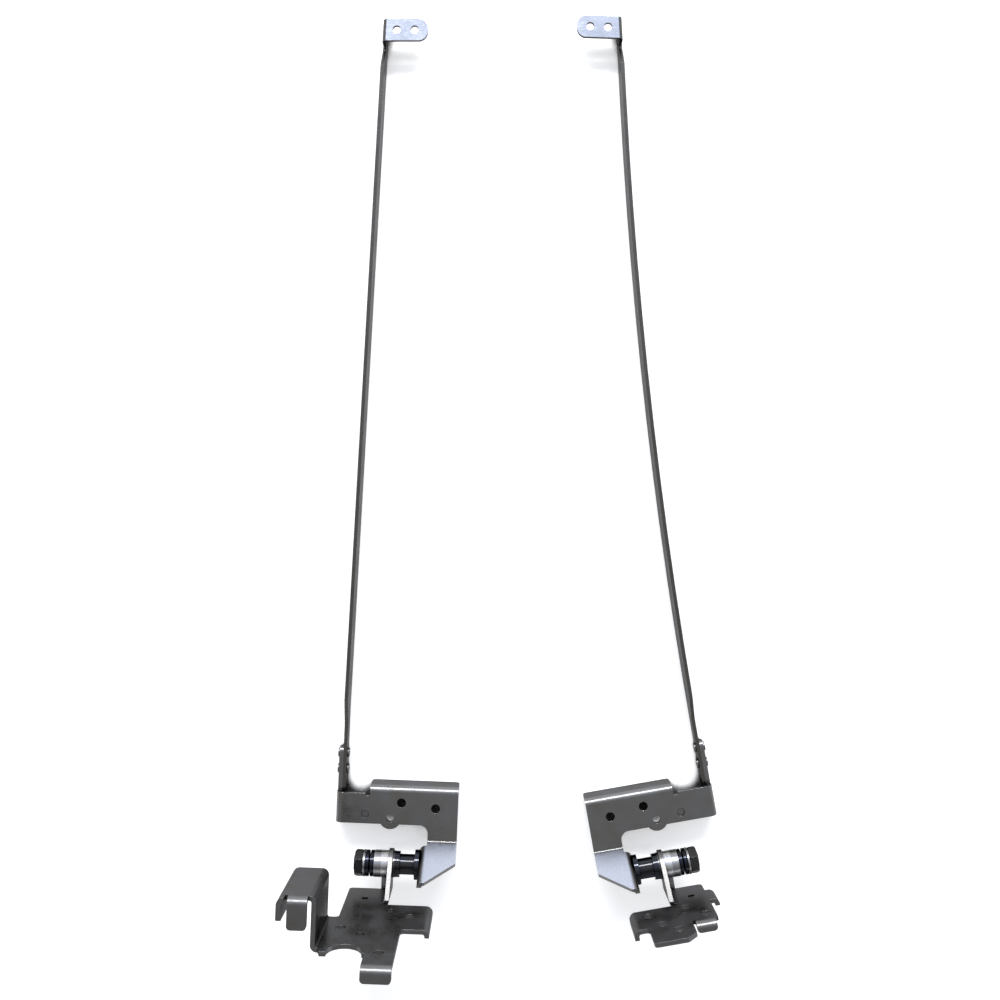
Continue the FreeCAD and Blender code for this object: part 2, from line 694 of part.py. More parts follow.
def base_holes(piece, holes, dimple):
    """Screw holes through the base plate and the locating dimple in its upper face."""
    for alias, *_ in holes:
        centre = [(getattr(at, alias + "_u"), getattr(at, alias + "_z"))]
        sketch = piece.circles(centre, getattr(at, alias + "_wide"), "XZ_Plane", offset=at.base_drop)
        piece.pocket(sketch, at.base_sheet, back=True)
    centre = [(getattr(at, dimple[0] + "_u"), getattr(at, dimple[0] + "_z"))]
    sketch = piece.circles(centre, at.small_dimple, "XZ_Plane", offset=at.base_drop)
    piece.pocket(sketch, at.dimple_deep, back=True)


def plate_corners(piece, radius, places):
    """Round corners of the base plate's outline."""
    middle = -at.base_drop - at.base_sheet / 2
    piece.round(radius, [piece.point(u, middle, z) for u, z in places], Y_AXIS)


def left_base_bracket():
    """Base plate with eye, arm, stem, and the cable hook folded over its outer edge."""
    piece = Piece(1, "base_bracket")
    sheet = at.base_sheet
    top = -at.base_drop
    slot_front = at.eye_foot_front + at.eye_relief
    slot_left = EYE_RIGHT - at.eye_relief_deep
    riser_left = -at.hook_inner - sheet
    shoulder = riser_left + at.flange_reach
    plate = [
        (EYE_RIGHT, -at.base_back),
        (EYE_RIGHT, at.eye_foot_front),
        (slot_left, at.eye_foot_front),
        (slot_left, slot_front),
        (at.left_arm, slot_front),
        (at.left_arm, at.left_arm_front),
        (-at.left_stem_out, at.left_arm_front),
        (-at.left_stem_out, at.left_stem_front),
        (-at.left_stem_in, at.left_stem_front),
        (-at.left_stem_in, at.left_shelf_front),
        (shoulder + at.shelf_slant, at.left_shelf_front),
        (shoulder, at.hook_front),
        (riser_left, at.hook_front),
        (riser_left, at.hook_back),
        (-at.left_side, at.hook_back),
        (-at.left_side, -at.base_back),
    ]
    piece.pad(piece.outline(plate, "XZ_Plane", offset=at.base_drop), sheet)
    scoop = [(-at.scoop_left, at.scoop_front)]
    scooped = piece.circles(scoop, at.scoop_radius * 2, "XZ_Plane", offset=at.base_drop)
    piece.pocket(scooped, sheet, back=True)
    eye(piece)
    drop_flange(piece, at.left_arm, at.left_arm - sheet, slot_front, at.left_arm_front, at.left_arm_drop)
    front_lip(piece, -at.left_stem_in, -at.left_stem_out, at.left_stem_front, top, at.left_stem_drop)
    # hook: riser, top, skirt and lip
    crown = top + at.hook_high
    riser = box_points(riser_left, -at.hook_inner, at.hook_back, at.hook_front)
    piece.pad(piece.outline(riser, "XZ_Plane", offset=-crown), at.hook_high + sheet)
    lip_left = at.hook_lip_inset - at.hook_outer
    lip_right = -at.hook_inner - at.hook_lip_start
    slit = lip_left - at.hook_slit
    cover = [
        (-at.hook_inner, at.hook_back),
        (-at.hook_inner, at.hook_front),
        (lip_right, at.hook_front),
        (lip_right, at.hook_lip_front),
        (lip_left, at.hook_lip_front),
        (lip_left, at.hook_slit_back),
        (slit, at.hook_slit_back),
        (slit, at.hook_lip_front),
        (-at.hook_outer, at.hook_lip_front),
        (-at.hook_outer, at.hook_back),
    ]
    piece.pad(piece.outline(cover, "XZ_Plane", offset=-crown), sheet)
    skirt = box_points(-at.hook_outer, sheet - at.hook_outer, at.hook_back, at.hook_lip_front)
    piece.pad(piece.outline(skirt, "XZ_Plane", offset=-crown), at.hook_skirt)
    front_lip(piece, lip_left, lip_right, at.hook_lip_front, crown, at.hook_lip_drop)
    middle = (at.hook_back + at.hook_front) / 2
    piece.bend(
        sheet,
        piece.point(riser_left, top - sheet, middle),
        piece.point(-at.hook_inner, top, middle),
        Z_AXIS,
    )
    piece.bend(
        sheet,
        piece.point(-at.hook_inner, crown, middle),
        piece.point(riser_left, crown - sheet, middle),
        Z_AXIS,
    )
    piece.bend(
        sheet,
        piece.point(-at.hook_outer, crown, middle),
        piece.point(sheet - at.hook_outer, crown - sheet, middle),
        Z_AXIS,
    )
    half = sheet / 2 - at.hook_outer
    skirt_low = crown - at.hook_skirt
    skirt_ends = [piece.point(half, skirt_low, y) for y in (at.hook_back, at.hook_lip_front)]
    piece.round(at.corner, skirt_ends, X_AXIS)
    plate_corners(piece, at.corner, [
        (-at.left_side, -at.base_back),
        (-at.left_side, at.hook_back),
        (-at.left_stem_out, at.left_arm_front),
    ])
    base_holes(piece, LEFT_BASE_HOLES, LEFT_BASE_DIMPLE)
    return piece


def right_base_bracket():
    """Base plate with eye, arm, side flange, front lip and a chamfered stem."""
    piece = Piece(-1, "base_bracket")
    sheet = at.base_sheet
    top = -at.base_drop
    slot_front = at.eye_foot_front + at.eye_relief
    slot_left = EYE_RIGHT - at.eye_relief_deep
    slit_right = -at.right_lip_right
    slit_left = -at.right_lip_left
    plate = [
        (EYE_RIGHT, -at.base_back),
        (EYE_RIGHT, at.eye_foot_front),
        (slot_left, at.eye_foot_front),
        (slot_left, slot_front),
        (at.right_arm, slot_front),
        (at.right_arm, at.right_arm_front),
        (at.right_stem_out, at.right_arm_front),
        (at.right_stem_out, at.right_stem_front),
        (at.right_stem_cut - at.right_stem_in, at.right_stem_front),
        (-at.right_stem_in, at.right_stem_front - at.right_stem_cut),
        (-at.right_stem_in, at.right_lip_back),
        (slit_right, at.right_lip_back),
        (slit_right, at.right_lip_front),
        (slit_left, at.right_lip_front),
        (slit_left, at.right_lip_back),
        (-at.right_side, at.right_lip_back),
        (-at.right_side, at.right_ledge_front),
        (-at.right_ledge, at.right_ledge_front),
        (-at.right_ledge, at.right_ledge_back),
        (-at.right_side, at.right_ledge_back),
        (-at.right_side, -at.base_back),
    ]
    piece.pad(piece.outline(plate, "XZ_Plane", offset=at.base_drop), sheet)
    eye(piece)
    drop_flange(piece, at.right_arm, at.right_arm - sheet, slot_front, at.right_arm_front, at.right_arm_drop)
    drop_flange(
        piece,
        -at.right_ledge,
        sheet - at.right_ledge,
        at.right_ledge_back,
        at.right_ledge_front,
        at.right_ledge_drop,
    )
    front_lip(piece, slit_left, slit_right, at.right_lip_front, top, at.right_lip_drop)
    plate_corners(piece, at.corner, [
        (-at.right_side, -at.base_back),
        (at.right_stem_out, at.right_stem_front),
        (at.right_stem_out, at.right_arm_front),
    ])
    base_holes(piece, RIGHT_BASE_HOLES, RIGHT_BASE_DIMPLE)
    return piece


def rail(hand):
    """Long strip on edge that leans from half way up, with a two-hole ear bent over at its top."""
    piece = Piece(hand, "rail")
    sheet = at.rail_sheet
    side = sign_of(hand)
    lean = at.left_lean if hand > 0 else at.right_lean
    radius = at.left_lean_radius if hand > 0 else at.right_lean_radius
    turn = at.left_ear_turn if hand > 0 else at.right_ear_turn
    total = at.left_rail_end if hand > 0 else at.right_rail_end
    outer = at.lid_sheet - (at.left_tab if hand > 0 else at.right_tab)
    front = -at.plate_drop
    run = (side * sine(lean), cosine(lean))
    straight = total - radius * lean * as_size(math.pi / 180)
    inner_radius = radius - side * sheet
    centre = (outer + side * radius, at.rail_bend_up)
    outer_bend = (centre[0] - side * radius * cosine(lean), centre[1] + radius * sine(lean))
    inner_bend = (centre[0] - side * inner_radius * cosine(lean), centre[1] + inner_radius * sine(lean))
    corner = (outer_bend[0] + straight * run[0], outer_bend[1] + straight * run[1])
    rise = turn - side * lean
    across = (cosine(rise), sine(rise))
    cap = sheet / cosine(turn)
    inner_corner = (corner[0] + cap * across[0], corner[1] + cap * across[1])
    strip = [
        (outer, at.rail_foot),
        (outer + sheet, at.rail_foot),
        (outer + sheet, at.rail_bend_up),
        inner_bend,
        inner_corner,
        corner,
        outer_bend,
        (outer, at.rail_bend_up),
    ]
    sketch = piece.sketch("XY_Plane", offset=TABLE)
    draw_strip(sketch, piece.drawn("XY_Plane", strip), piece.drawn("XY_Plane", [centre])[0])
    piece.pad(sketch, at.lid_depth)
    # ear
    down = (sine(rise), -cosine(rise))
    far = (corner[0] + at.ear_long * across[0], corner[1] + at.ear_long * across[1])
    low = (corner[0] + at.ear_high * down[0], corner[1] + at.ear_high * down[1])
    far_low = (far[0] + at.ear_high * down[0], far[1] + at.ear_high * down[1])
    piece.pad(piece.outline([corner, low, far_low, far], offset=front), sheet, back=True)
    # notch under the ear: a step, then a ramp back to the full depth
    step = at.ear_notch_step
    wide = sheet * 2
    notch_low = (low[0] - step * run[0], low[1] - step * run[1])
    notch = [
        (low[0] - sheet * across[0], low[1] - sheet * across[1]),
        (low[0] + wide * across[0], low[1] + wide * across[1]),
        (notch_low[0] + wide * across[0], notch_low[1] + wide * across[1]),
        (notch_low[0] - sheet * across[0], notch_low[1] - sheet * across[1]),
    ]
    piece.pocket(piece.outline(notch, offset=front), at.ear_notch_deep)
    ramp = [
        (-at.ear_notch_long, front),
        (-at.ear_notch_long, front + sheet),
        (-step / 2, front + sheet),
        (-step / 2, front - at.ear_notch_deep),
        (-step, front - at.ear_notch_deep),
    ]
    beside = piece.across(low[0])
    sketch = piece.outline(ramp, "YZ_Plane", base=(low[1], as_size(0), beside), turn=(Y_AXIS, -lean))
    piece.pocket(sketch, sheet * 6, both=True)
    along = FreeCAD.Vector(piece.across(run[0]).value, run[1].value, 0)
    half = at.ear_high / 2
    bend_outer = (corner[0] - half * run[0], corner[1] - half * run[1])
    bend_inner = (bend_outer[0] + sheet * run[1], bend_outer[1] - sheet * run[0])
    piece.round(at.rail_bend_inside + sheet, [piece.point(*bend_outer, front)], along)
    piece.round(at.rail_bend_inside, [piece.point(*bend_inner, front - sheet)], along)
    ends = [piece.point(*far, front - sheet / 2), piece.point(*far_low, front - sheet / 2)]
    piece.round(at.ear_round, ends, Z_AXIS)
    holes = []
    for reach in (at.ear_hole_near, at.ear_hole_near + at.ear_hole_pitch):
        middle = [corner[i] + reach * across[i] + half * down[i] for i in (0, 1)]
        holes.append(middle)
    piece.pocket(piece.circles(holes, at.ear_hole, offset=front), sheet * 2)
    # lower stretch with its front edge set back
    set_back = [
        (at.rail_foot - sheet, front + sheet),
        (at.rail_foot - sheet, -at.tab_front),
        (at.rail_full_up - at.lid_depth, -at.tab_front),
        (at.rail_full_up, front),
        (at.rail_full_up, front + sheet),
    ]
    piece.slot(set_back, outer - sheet, outer + sheet * 2)
    piece.bore(rivet_places(), at.rivet, outer, outer + sheet)
    return piece


def draw_strip(sketch, points, centre):
    """The rail's outline: straight edges, with an arc about one centre on each long side."""
    count = len(points)
    corners = [FreeCAD.Vector(a.value, b.value, 0) for a, b in points]
    middle = FreeCAD.Vector(centre[0].value, centre[1].value, 0)
    for i in range(count):
        start, end = corners[i], corners[(i + 1) % count]
        if i in (2, 6):
            sketch.addGeometry(bow(start, end, middle), False)
        else:
            sketch.addGeometry(Part.LineSegment(start, end), False)
    for i in range(count):
        tail = nearest_end(sketch, i, corners[(i + 1) % count])
        head = nearest_end(sketch, (i + 1) % count, corners[(i + 1) % count])
        sketch.addConstraint(Sketcher.Constraint("Coincident", i, tail, (i + 1) % count, head))
    for i, (a, b) in enumerate(points):
        head = nearest_end(sketch, i, corners[i])
        hold(sketch, "DistanceX", (-1, 1, i, head), a)
        hold(sketch, "DistanceY", (-1, 1, i, head), b)
    for i in (2, 6):
        across, up = points[i][0] - centre[0], points[i][1] - centre[1]
        hold(sketch, "Radius", (i,), root(across * across + up * up))


def bow(start, end, middle):
    """The short arc about a centre from one point to another."""
    first = math.atan2(start.y - middle.y, start.x - middle.x)
    last = math.atan2(end.y - middle.y, end.x - middle.x)
    circle = Part.Circle(middle, Z_AXIS, (start - middle).Length)
    turn = (last - first) % (2 * math.pi)
    if turn < math.pi:
        return Part.ArcOfCircle(circle, first, first + turn)
    return Part.ArcOfCircle(circle, last, last + 2 * math.pi - turn)


def nearest_end(sketch, index, point):
    """1 for the start of a sketch's line or arc and 2 for its end, whichever lies at a point."""
    line = sketch.Geometry[index]
    return 1 if (line.StartPoint - point).Length < (line.EndPoint - point).Length else 2


def shaft(hand):
    """Turned shaft: riveted end, shoulder, neck, collar and a journal with two flats."""
    piece = Piece(hand, "hinge_shaft")
    peened = at.lid_sheet + at.peen_high
    profile = [
        (peened, 0),
        (peened, at.peen / 2),
        (at.lid_sheet, at.peen / 2),
        (at.lid_sheet, at.shank / 2),
        (0, at.shank / 2),
        (0, at.shoulder / 2),
        (NECK_START, at.shoulder / 2),
        (NECK_START, at.neck / 2),
        (NECK_END, at.neck / 2),
        (NECK_END, at.collar / 2),
        (COLLAR_END, at.collar / 2),
        (COLLAR_END, at.journal / 2),
        (TAIL_END, at.journal / 2),
        (TAIL_END, 0),
    ]
    piece.turned(profile)
    flat = at.journal_flats / 2
    wide = at.journal
    for start, end in ((flat, wide), (-wide, -flat)):
        piece.slot(box_points(-wide, wide, start, end), TAIL_END - at.tail, COLLAR_END)
    return piece


def washer(hand, label, start, thick, wide, keyed):
    """A flat ring, with a round bore or one that fits the journal's flats."""
    piece = Piece(hand, label)
    end = start - thick
    bore = at.journal + (at.key_gap if keyed else at.running_gap) * 2
    low = piece.low(end, start)
    ring = piece.circles([(0, 0)], wide, "YZ_Plane", offset=low)
    draw_circle(ring, (0, 0), bore)
    piece.pad(ring, thick)
    if keyed:
        flat = at.journal_flats / 2 + at.key_gap
        key_y = bore / 2
        key_z = bore * KEY_REACH
        for key in (box_points(-key_y, key_y, flat, key_z), box_points(-key_y, key_y, -key_z, -flat)):
            piece.pad(piece.outline(key, "YZ_Plane", offset=low), thick)
    return piece


def stop_washer(hand):
    """A thick ring with a leg that hooks behind the base plate."""
    piece = washer(hand, "stop_washer", EYE_LEFT, at.stop_washer_thick, at.washer_wide, False)
    root_y = -at.washer_wide * LEG_ROOT
    bottom = -at.base_drop - at.base_sheet
    leg = box_points(bottom, root_y, -at.base_back - at.stop_leg_thick, -at.base_back)
    piece.slab(leg, STOP_WASHER_END, EYE_LEFT)
    return piece


def spring_disc(hand, number):
    """A dished ring; neighbours face opposite ways."""
    piece = Piece(hand, f"spring_disc_{number}")
    start = FRICTION_END - at.disc_high * (number - 1)
    rise = at.disc_high - at.disc_sheet
    inner = at.journal / 2 + at.disc_bore_gap
    outer = at.disc_wide / 2
    at_bore, at_rim = (as_size(0), rise) if number % 2 else (rise, as_size(0))
    profile = [
        (start - at_bore, inner),
        (start - at_rim, outer),
        (start - at_rim - at.disc_sheet, outer),
        (start - at_bore - at.disc_sheet, inner),
    ]
    piece.turned(profile)
    return piece


def lock_nut(hand):
    """Hexagonal nut with both faces chamfered, on the journal's end."""
    piece = Piece(hand, "lock_nut")
    corner = at.nut_wide / root(as_size(3))
    half = at.nut_wide / 2
    hexagon = [
        (corner, 0),
        (corner / 2, half),
        (-corner / 2, half),
        (-corner, 0),
        (-corner / 2, -half),
        (corner / 2, -half),
    ]
    piece.slab(hexagon, NUT_END, PRESSURE_END)
    beyond = corner + at.nut_chamfer
    deep = at.nut_chamfer
    for face, inward in ((NUT_END, deep), (PRESSURE_END, -deep)):
        cone = [
            (face, half),
            (face + inward * (beyond - half) / (corner - half), beyond),
            (face - inward, beyond),
            (face - inward, half),
        ]
        piece.turned(cone, "PartDesign::Groove")
    piece.bore([(0, 0)], at.journal, NUT_END, PRESSURE_END)
    return piece


def rivets(hand):
    """The two rivets that hold the rail to the tab, each a shank with two heads."""
    side = "left" if hand > 0 else "right"
    tab = at.left_tab if hand > 0 else at.right_tab
    grip = at.lid_sheet + at.rail_sheet
    stretches = [
        ("shank", -tab, grip, at.rivet),
        ("outer_head", -tab - at.rivet_head_high, at.rivet_head_high, at.rivet_head),
        ("inner_head", grip - tab, at.rivet_head_high, at.rivet_head),
    ]
    whole = []
    for number, (up, forward) in enumerate(rivet_places(), 1):
        parts = []
        for kind, start, long, wide in stretches:
            drum = DOC.addObject("Part::Cylinder", f"{side}_rivet_{number}_{kind}")
            low = start if hand > 0 else -(start + long)
            place = FreeCAD.Vector(low.value, up.value, forward.value)
            drum.Placement = FreeCAD.Placement(place, FreeCAD.Rotation(Y_AXIS, 90))
            drum.setExpression("Radius", (wide / 2).text)
            drum.setExpression("Height", long.text)
            drum.setExpression("Placement.Base.x", low.text)
            drum.setExpression("Placement.Base.y", up.text)
            drum.setExpression("Placement.Base.z", forward.text)
            parts.append(drum)
        rivet = DOC.addObject("Part::MultiFuse", f"{side}_rivet_{number}")
        rivet.Shapes = parts
        whole.append(rivet)
    both = DOC.addObject("Part::Compound", f"{side}_rail_rivets")
    both.Links = whole
    both.Label = f"{side}_rail_rivets"
    DOC.recompute()
    return both


def build_hinge(hand):
    """Every piece of one hinge, in the hinge's own frame."""
    bracket = left_base_bracket() if hand > 0 else right_base_bracket()
    pieces = [
        bracket,
        lid_bracket(hand),
        rail(hand),
        shaft(hand),
        washer(hand, "inner_washer", COLLAR_END, at.inner_washer_thick, at.inner_washer_wide, True),
        stop_washer(hand),
        washer(hand, "friction_washer", FRICTION_START, at.friction_washer_thick, at.washer_wide, True),
    ]
    pieces += [spring_disc(hand, number) for number in range(1, SPRING_DISCS + 1)]
    thick, wide = at.pressure_washer_thick, at.inner_washer_wide
    pieces.append(washer(hand, "pressure_washer", DISCS_END, thick, wide, True))
    pieces.append(lock_nut(hand))
    nodes = [piece.body for piece in pieces] + [rivets(hand)]
    for node in nodes:
        set_down(node, hand)
    return nodes


def set_down(node, hand):
    """Turn and move a piece from its hinge's own frame to its place on the table."""
    if hand > 0:
        x, y, turn = at.left_x + at.shift_x, at.left_y + at.shift_y, at.left_turn
    else:
        x, y, turn = at.right_x + at.shift_x, at.right_y + at.shift_y, at.right_turn
    z = at.plate_drop + at.lid_depth
    place = FreeCAD.Vector(x.value, y.value, z.value)
    node.Placement = FreeCAD.Placement(place, FreeCAD.Rotation(Z_AXIS, turn.value))
    node.setExpression("Placement.Base.x", x.text)
    node.setExpression("Placement.Base.y", y.text)
    node.setExpression("Placement.Base.z", z.text)
    # the axis that FreeCAD keeps for a negative turn points down
    angle = turn if node.Placement.Rotation.Axis.z > 0 else -turn
    node.setExpression("Placement.Rotation.Angle", angle.text)


def check(item):
    """Stop if an object of the document is in error or has no sound shape."""
    for state in item.State:
        if state in ("Invalid", "Error"):
            raise RuntimeError(f"{item.Name} is {state}")
    if hasattr(item, "Shape") and not item.isDerivedFrom("App::Origin"):
        if item.TypeId in ("PartDesign::Body", "Part::Compound") or item.isDerivedFrom("PartDesign::Feature"):
            if item.Shape.isNull() or not item.Shape.isValid():
                raise RuntimeError(f"{item.Name} has no sound shape")


os.makedirs("parts", exist_ok=True)
nodes = build_hinge(1) + build_hinge(-1)
DOC.recompute()
for item in DOC.Objects:
    check(item)
whole = FreeCAD.BoundBox()
for node in nodes:
    node.Shape.exportStep(f"parts/{node.Label}.step")
    box = node.Shape.BoundBox
    whole.add(box)
    print(node.Label, len(node.Shape.Solids), round(node.Shape.Volume, 2), box)
print("whole", whole)
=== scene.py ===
import json
import math

import bpy
from mathutils import Euler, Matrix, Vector

# A pair of laptop hinges on a white table, seen from straight above. Lengths are metres in the part's
# frame, with +Z up and +Y up the rails. Textures are laid out in millimetres, in each hinge's own frame.
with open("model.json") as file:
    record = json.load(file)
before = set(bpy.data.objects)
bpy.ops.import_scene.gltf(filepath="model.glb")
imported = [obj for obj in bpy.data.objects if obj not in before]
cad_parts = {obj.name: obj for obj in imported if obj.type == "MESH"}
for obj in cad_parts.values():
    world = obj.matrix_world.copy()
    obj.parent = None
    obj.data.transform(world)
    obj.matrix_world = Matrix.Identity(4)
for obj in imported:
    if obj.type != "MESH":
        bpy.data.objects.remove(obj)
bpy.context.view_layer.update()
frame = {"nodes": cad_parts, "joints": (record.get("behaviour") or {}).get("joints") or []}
nodes = frame["nodes"]

MM = 0.001

# Each hinge's shaft, read from its joint: its turn on the table and a point on its axis.
SHAFT_TURN = {}
SHAFT_POINT = {}
for joint in frame["joints"]:
    side = joint["name"].split("_")[0]
    flip = 1 if joint["axis"][0] > 0 else -1
    SHAFT_TURN[side] = math.atan2(joint["axis"][1] * flip, joint["axis"][0] * flip)
    SHAFT_POINT[side] = Vector(joint["pos_m"])

# Tints: the red, green and blue that a grey is multiplied by.
PLAIN = (1.0, 1.0, 1.0)
COOL = (0.97, 0.985, 1.03)
WARM = (1.04, 1.0, 0.95)
BLUE = (0.92, 0.98, 1.14)
INKY = (0.8, 0.92, 1.3)

# Noise over the metal: its waves to a millimetre, its detail and its roughness.
STAIN = (0.16, 4.0, 0.55)
SPECK = (3.2, 2.0, 0.6)
SCRATCH = (1.6, 5.0, 0.7)
LINE = (1.0, 3.0, 0.65)

# What the noise is squeezed by along the shaft, up the rail and upwards. Lines left by rolling run up the
# rail. Those of a turned piece run round the shaft, so they vary along it.
SCRATCHED = (0.35, 2.2, 1.4)
ROLLED = (9.0, 0.12, 9.0)
TURNED = (14.0, 0.4, 0.4)

# Where each effect starts and where it is full, in the values of the noise or the mask behind it.
STAIN_FADE = (0.32, 0.68)
SPECK_FADE = (0.35, 0.75)
# the edge wear and painted highlight follow this fade of the scratch noise
WEAR_AND_HIGHLIGHT_FADE = (0.3, 0.7)
SMUDGE_FADE = (0.3, 0.7)
SCRATCH_FADE = (0.45, 0.75)
EDGE_FADE = (0.995, 0.86)
FACING_FADE = (0.93, 0.985)
CREVICE_FADE = (0.35, 0.8)
OPEN_AIR_FADE = (0.32, 0.43)

# Brightness of the metal's shades, as shares of the finish's own level.
STAINED = 0.93
CLEAN = 1.05
SPECKED = 0.8
# painted shade in holes and crevices
CREVICE_PAINTED_SHADE = 0.12
# bare steel with a painted highlight along the edges
BARE_STEEL_AND_HIGHLIGHT = 2.4

# How far specks cover the colour below, the least wear and painted highlight along an edge, and the
# brightest bare steel and highlight.
SPECK_SHARE = 0.22
LEAST_WEAR_AND_HIGHLIGHT = 0.35
BRIGHTEST_BARE_AND_HIGHLIT = 0.75
# Roughness: shares of the finish's own in its smoothest and dullest smudges, and what a scratch adds.
SMOOTH_SMUDGE = 0.8
DULL_SMUDGE = 1.25
SCRATCH_ROUGHNESS = 0.12
# Steel this dull doesn't turn white where it is seen along its surface.
ALONG_SURFACE = 0.35

# Relief: the share of the plating's grain in it, then how strong and how deep it is.
GRAIN = 0.5
BUMP_STRENGTH = 0.35
BUMP_DEPTH = 0.02 * MM
# How far the edge and crevice masks reach, and how many rays they take.
EDGE_RADIUS = 0.12 * MM
EDGE_SAMPLES = 4
CREVICE_REACH = 2.2 * MM
CREVICE_SAMPLES = 8

# Faces with a painted sheen, brighter and bluer as if catching the light: which way they look, and where
# they start and end up the rail, in millimetres from the shaft.
SHEEN_BORDER = 0.2
BRACE_SHEEN = {"facing": (0.0, 0.866, 0.5), "low": -20.0, "high": 5.6, "level": 0.5}
EAR_SHEEN = {"facing": (0.0, 0.0, 1.0), "low": 233.6, "high": 250.0, "level": 0.6}

# Each finish: its level, tint and roughness, how strongly its edges show bare steel and a painted
# highlight, and where given a painted sheen on some faces and machining lines.
FINISHES = {
    "base_bracket": {"level": 0.15, "tint": COOL, "rough": 0.3, "edge_wear_and_highlight": 0.38},
    "lid_bracket": {"level": 0.19, "tint": COOL, "rough": 0.28, "edge_wear_and_highlight": 0.6, "painted_sheen": BRACE_SHEEN},
    "rail": {
        "level": 0.115, "tint": WARM, "rough": 0.2, "edge_wear_and_highlight": 0.5,
        "lines": ROLLED, "line_depth": 0.5, "painted_sheen": EAR_SHEEN,
    },
    "rail_rivets": {"level": 0.22, "tint": COOL, "rough": 0.28, "edge_wear_and_highlight": 0.4},
    "hinge_shaft": {
        "level": 0.045, "tint": INKY, "rough": 0.1, "edge_wear_and_highlight": 0.35, "lines": TURNED, "line_depth": 0.3,
    },
    "inner_washer": {
        "level": 0.12, "tint": COOL, "rough": 0.2, "edge_wear_and_highlight": 0.5, "lines": TURNED, "line_depth": 0.4,
    },
    "stop_washer": {
        "level": 0.5, "tint": COOL, "rough": 0.22, "edge_wear_and_highlight": 0.4, "lines": TURNED, "line_depth": 0.5,
    },
    "friction_washer": {
        "level": 0.3, "tint": COOL, "rough": 0.22, "edge_wear_and_highlight": 0.4, "lines": TURNED, "line_depth": 0.5,
    },
    "pressure_washer": {
        "level": 0.3, "tint": COOL, "rough": 0.22, "edge_wear_and_highlight": 0.4, "lines": TURNED, "line_depth": 0.5,
    },
    "spring_disc": {
        "level": 0.03, "tint": INKY, "rough": 0.14, "edge_wear_and_highlight": 0.5, "lines": TURNED, "line_depth": 0.5,
    },
    "lock_nut": {"level": 0.06, "tint": COOL, "rough": 0.22, "edge_wear_and_highlight": 0.45},
}

# The table: half its width in metres, how far it lies below the part, its level in the open and its painted
# shade under a plate, and the glow that the camera sees.
TABLE_REACH = 12.0
TABLE_MIDDLE = (0.0, 0.0, 0.0)
TABLE_DROP = 0.02 * MM
TABLE_WHITE = 0.8
TABLE_PAINTED_SHADE = 0.03
TABLE_GLOW = 0.42
COVER_REACH = 30 * MM
COVER_SAMPLES = 32

# The room's light along +Y, the way the rails point: from where to where it changes, and its colours.
ROOM_FADE = (-0.45, 0.5)
ROOM_LEVEL_NEAR = 0.5
ROOM_LEVEL_MIDDLE = 0.55
ROOM_UPPER = (0.85, 0.9, 1.0, 1.0)
ROOM_FAR = (1.0, 1.06, 1.2, 1.0)

# The camera stands straight above the table. The photograph's middle is this point of the part's frame.
PHOTO_MIDDLE = (-3.65 * MM, -11.23 * MM)
CAMERA_HIGH = 307.0 * MM
LENS = 37.8
SENSOR_WIDTH = 36.0
NEAREST_SEEN = 0.01


class Nodes:
    """Helps to build a node tree: makes nodes, sets their sockets and gives back their outputs."""

    def __init__(self, owner):
        owner.use_nodes = True
        self.tree = owner.node_tree
        self.tree.nodes.clear()

    def plug(self, socket, value):
        """Link the socket to another node's output, or set a plain value on it."""
        if isinstance(value, bpy.types.NodeSocket):
            self.tree.links.new(value, socket)
        else:
            socket.default_value = value

    def make(self, kind, **sockets):
        """Make a node. A socket goes by its name, with _ for a space, or by its number, as in _0."""
        node = self.tree.nodes.new(kind)
        for name, value in sockets.items():
            key = int(name[1:]) if name[0] == "_" else name.replace("_", " ")
            self.plug(node.inputs[key], value)
        return node

    def math(self, operation, first, second, clamp=False):
        node = self.make("ShaderNodeMath", _0=first, _1=second)
        node.operation = operation
        node.use_clamp = clamp
        return node.outputs[0]

    def vector(self, operation, first, second, output="Vector"):
        node = self.make("ShaderNodeVectorMath", _0=first, _1=second)
        node.operation = operation
        return node.outputs[output]

    def span(self, value, fade, low=0.0, high=1.0):
        """Map a value from the two ends of a fade to low and high, held at both ends."""
        node = self.make("ShaderNodeMapRange", Value=value, From_Min=fade[0], From_Max=fade[1],
                         To_Min=low, To_Max=high)
        return node.outputs["Result"]

    def noise(self, place, kind):
        scale, detail, roughness = kind
        node = self.make("ShaderNodeTexNoise", Vector=place, Scale=scale, Detail=detail,
                         Roughness=roughness)
        return node.outputs["Fac"]

    def blend(self, factor, first, second):
        """Mix two colours."""
        node = self.tree.nodes.new("ShaderNodeMix")
        node.data_type = "RGBA"
        # the sockets of a colour mix: its factor, then its two colours
        for index, value in ((0, factor), (6, first), (7, second)):
            self.plug(node.inputs[index], value)
        return node.outputs[2]

    def openness(self, reach, samples, fade):
        """0 where most of what lies within reach is covered, and 1 in the open."""
        node = self.make("ShaderNodeAmbientOcclusion", Distance=reach)
        node.samples = samples
        return self.span(node.outputs["AO"], fade)

    def show(self, kind, shader):
        """Make the tree's output node and link the last shader to it."""
        output = self.tree.nodes.new(kind)
        self.tree.links.new(shader.outputs[0], output.inputs["Surface"])


def grey(level, tint=PLAIN):
    """A linear colour of one level, slightly tinted."""
    return tuple(level * part for part in tint) + (1.0,)


